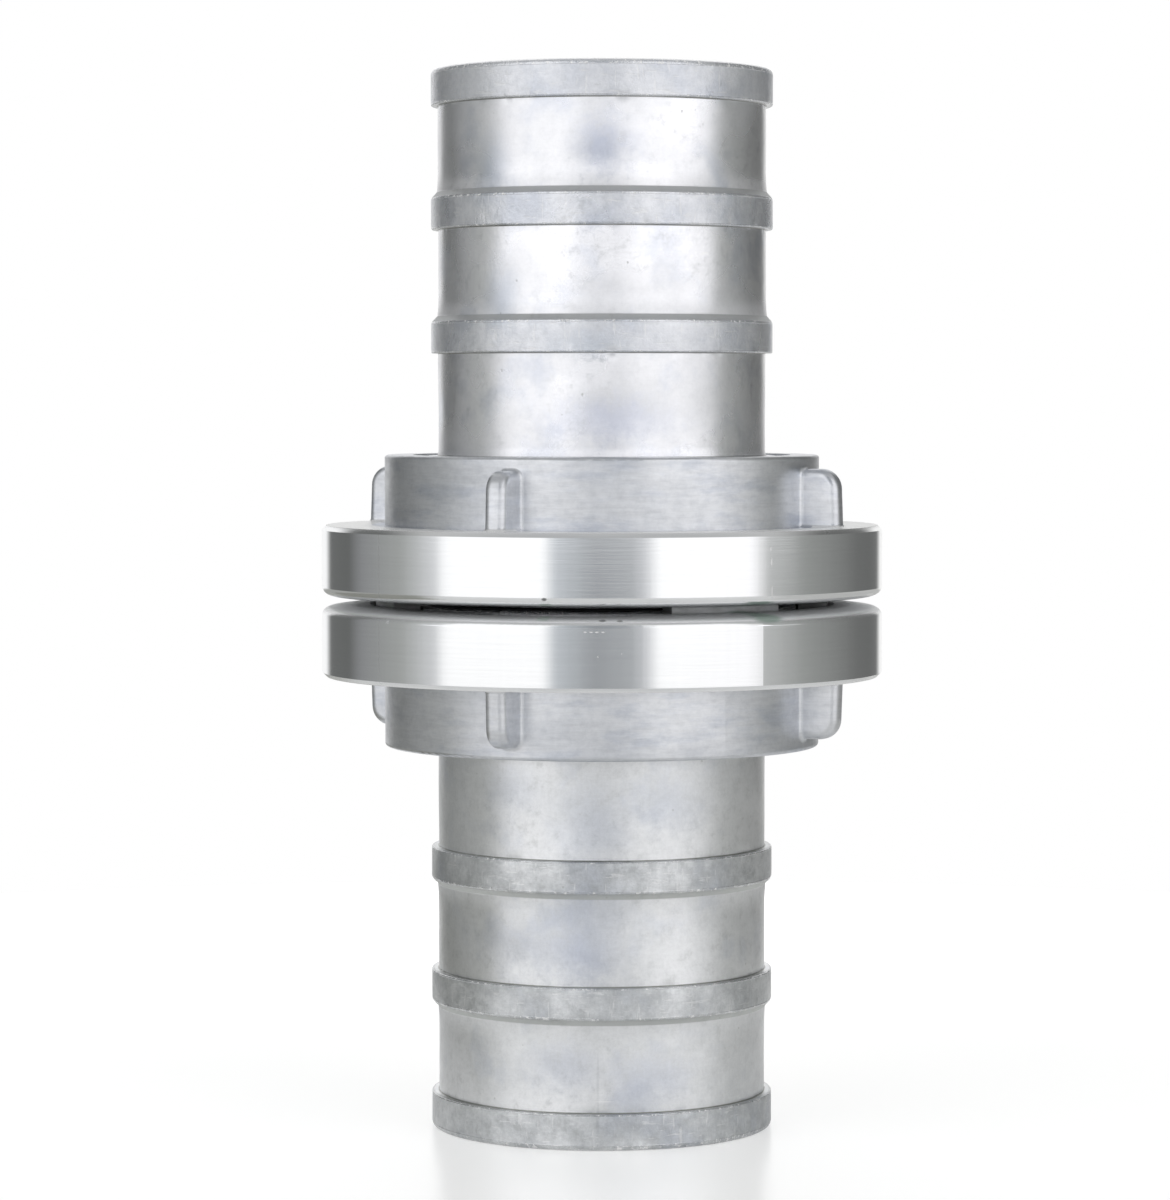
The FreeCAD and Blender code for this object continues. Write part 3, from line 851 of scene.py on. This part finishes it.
# Marks on the rims and in the gap: degrees from the front, mm above the mating plane, half width
# and half height in mm, colour, strength
capMarks = [
    # The four white dashes are tool marks painted white as their glints.
    (-3.45, -4.0, 0.34, 0.14, "#FFFFFF", 1.0), (-2.3, -4.0, 0.34, 0.14, "#FFFFFF", 1.0),
    (-1.15, -4.0, 0.34, 0.14, "#FFFFFF", 1.0), (0.0, -4.0, 0.34, 0.14, "#FFFFFF", 1.0),
    (-0.1, -1.6, 0.7, 0.25, "#4A4C4E", 0.8), (3.3, -1.7, 0.6, 0.2, "#55585A", 0.7),
    (-47.5, -2.9, 0.5, 0.3, "#D8DADC", 0.7), (-11.4, 2.9, 0.5, 0.3, "#3E3F3D", 0.8),
    (-0.95, -9.2, 0.16, 0.16, "#FFFFFF", 0.8), (3.6, -8.6, 0.14, 0.14, "#FFFFFF", 0.6),
    (51.0, 16.4, 0.9, 0.25, "#4C4D4A", 0.7),
    # A scratch at 35 degrees, painted white as its sheen.
    (34.8, 13.3, 0.16, 0.4, "#FFFFFF", 0.9), (35.0, 10.5, 0.18, 0.9, "#FFFFFF", 0.9),
    (35.1, 4.2, 0.16, 1.2, "#FFFFFF", 0.7),
    (-50.2, 9.0, 0.2, 6.5, "#8A8C8C", 0.35), (-50.2, -9.0, 0.2, 6.5, "#8A8C8C", 0.3),
    (34.9, -1.6, 3.4, 1.0, "#6F8A7B", 0.75), (-12.0, -1.3, 1.3, 0.4, "#93A79A", 0.6),
]


# Forged aluminium: satin skin with soft smeared clouds on collar, ribs and claws, and a bright
# rim with the fine rings that a lathe tool leaves; painted grey shade where the halves meet, on
# the claws and the lower rounding
def forgedAluminiumMaterial():
    material, tree = newMaterial("forgedAluminium")
    coordinates = addNode(tree, "ShaderNodeTexCoord").outputs["Object"]
    split = addNode(tree, "ShaderNodeSeparateXYZ", {0: coordinates})
    radius = axisRadius(tree, split)
    height = summed(tree, (split.outputs["Z"],), (-matingHeight,))
    depth = addNode(tree, "ShaderNodeMath", {0: height}, operation="ABSOLUTE").outputs[0]
    clouds, smears, mottle, brushed, grain, rings, chatter = (
        patterned(tree, coordinates, *capPatterns[name])
        for name in ("clouds", "smears", "mottle", "brushed", "grain", "rings", "chatter"))

    # Where things are: the turned rim and its back, its rounding at the gap, and the claws
    back, lip, rim = capFinish["rimDepth"], capFinish["lipRadius"], capFinish["rimRadius"]
    outside = mask(tree, fromBase(radius, lip, capEdges["pastLip"]))
    onBack = product(tree, outside, mask(tree, fromBase(depth, back, capEdges["beforeBack"]),
                                         fromBase(depth, back, capEdges["behindBack"])))
    inRim = mask(tree, fromBase(depth, back, capEdges["rimEnd"]))
    turned = product(tree, inRim, outside, summed(tree, (1.0,), (onBack, -1.0)))
    onSide = product(tree, turned, mask(tree, fromBase(radius, rim, capEdges["side"])))
    forged = summed(tree, (1.0,), (turned, -1.0))
    lowRounding = product(tree, turned, mask(tree, (height, *capEdges["lowerHalf"]),
                                             (depth, *capEdges["rounding"])))
    claws = mask(tree, (depth, *capEdges["clawDepth"]), fromBase(radius, lip, capEdges["clawRadius"]))

    # Colour of the skin: clouds and smears of oxide
    frosting = weighed(tree, (mask(tree, (clouds, 0.36, 0.68)), 0.45),
                       (mask(tree, (mottle, 0.40, 0.68)), 0.18),
                       (mask(tree, (smears, 0.58, 0.36)), 0.35))
    frosting = product(tree, forged, frosting)
    metal = layered(tree, capFinish["bright"], capFinish["forged"], forged)
    metal = layered(tree, metal, capFinish["frosted"], frosting)
    metal = layered(tree, metal, capFinish["oxide"], forged, mask(tree, (smears, 0.42, 0.70)), 0.65)

    # Fine light and dark: grain and brush strokes on the skin, the tool's lines on the rim's side
    shade = weighed(tree, (grain, 0.12), (mottle, 0.12), (mask(tree, (brushed, 0.35, 0.70)), 0.10),
                    (-0.05,))
    tone = summed(tree, (forged, shade, -1.0), (onSide, rings, -0.10), (onSide, chatter, -0.05),
                  (1.05,))
    metal = addNode(tree, "ShaderNodeMix", {"Factor": 1.0, 6: metal, 7: tone}, data_type="RGBA",
                    blend_type="MULTIPLY").outputs[2]
    # The back of the rim: dull skin, painted whiter than the rest as a painted reflection
    metal = layered(tree, metal, capFinish["backSkinAndSheen"], onBack)

    # Painted shade in the gap between the halves: on the claws in streaks and faintly on the lower
    # rounding; then the marks, among them painted glints
    streaked = mask(tree, (smears, 0.35, 0.62, 0.35, 1.0))
    grimeAndShade = weighed(tree, (lowRounding, 0.1), (claws, streaked, 0.8))
    metal = layered(tree, metal, capFinish["grimeAndShade"], grimeAndShade)
    metal, markCover = marked(tree, metal, coordinates, height, capMarks, 0.6)

    roughness = weighed(tree, (forged, capFinish["forgedRoughness"]),
                        (turned, capFinish["turnedRoughness"]), (onSide, capFinish["sideRoughness"]),
                        (frosting, 0.12), (lowRounding, 0.22), (claws, 0.15), (onBack, 0.03))
    dull = weighed(tree, (onBack, 0.5), (lowRounding, 0.4), (claws, 0.4), (markCover, 0.8))
    skin = product(tree, forged, summed(tree, (grain, 0.35), (mottle, 0.7)))
    relief = summed(tree, (skin, 0.028), (skin, claws, -0.024), (turned, rings, 0.004),
                    (turned, chatter, 0.0045))
    surfaced(tree, relief, capFinish["relief"], {
        "Base Color": metal,
        "Metallic": summed(tree, (1.0,), (dull, -1.0)),
        "Roughness": roughness,
        "Anisotropic": capFinish["anisotropy"],
        "Tangent": addNode(tree, "ShaderNodeTangent", direction_type="RADIAL", axis="Z").outputs[0],
    })
    return material


# Seals and snap rings; patterns are given as the tails' are
sealFinish = {
    "black": "#1F2022",
    "dusty": "#303134",
    "bloom": (4 * mm, 4.0, 0.6),
    "bloomShows": (0.4, 0.7),
    "skin": (0.3 * mm, 2.0, 0.5),
    "relief": 0.01 * mm,
    "roughness": 0.52,
    "bloomRoughness": 0.15,
}
ringFinish = {
    "dark": "#B9BABD",
    "bright": "#CFD0D2",
    "lines": (0.2 * mm, 2.0, 0.5, (0.05, 0.05, 1)),
    "relief": 0.01 * mm,
    "roughness": 0.2,
    "lineRoughness": 0.12,
}


# Moulded nitrile rubber: dull black with a fine dusty bloom
def sealRubberMaterial():
    material, tree = newMaterial("mouldedNitrile")
    coordinates = addNode(tree, "ShaderNodeTexCoord").outputs["Object"]
    bloom = patterned(tree, coordinates, *sealFinish["bloom"])
    skin = patterned(tree, coordinates, *sealFinish["skin"])
    dust = mask(tree, (bloom, *sealFinish["bloomShows"]))
    surfaced(tree, skin, sealFinish["relief"], {
        "Base Color": layered(tree, sealFinish["black"], sealFinish["dusty"], dust),
        "Roughness": summed(tree, (bloom, sealFinish["bloomRoughness"]), (sealFinish["roughness"],)),
    })
    return material


# Drawn spring steel wire: bright, with faint draw lines round the ring
def springSteelMaterial():
    material, tree = newMaterial("drawnSpringSteel")
    coordinates = addNode(tree, "ShaderNodeTexCoord").outputs["Object"]
    lines = patterned(tree, coordinates, *ringFinish["lines"])
    surfaced(tree, lines, ringFinish["relief"], {
        "Base Color": layered(tree, ringFinish["dark"], ringFinish["bright"], lines),
        "Metallic": 1.0,
        "Roughness": summed(tree, (lines, ringFinish["lineRoughness"]), (ringFinish["roughness"],)),
    })
    return material


finishes = {
    "claw_cap": forgedAluminiumMaterial(),
    "seal": sealRubberMaterial(),
    "snap_ring": springSteelMaterial(),
}
for half in ("lower", "upper"):
    for piece, material in finishes.items():
        frame["nodes"][f"{half}_{piece}"].material_slots[0].material = material
print("finishes set")
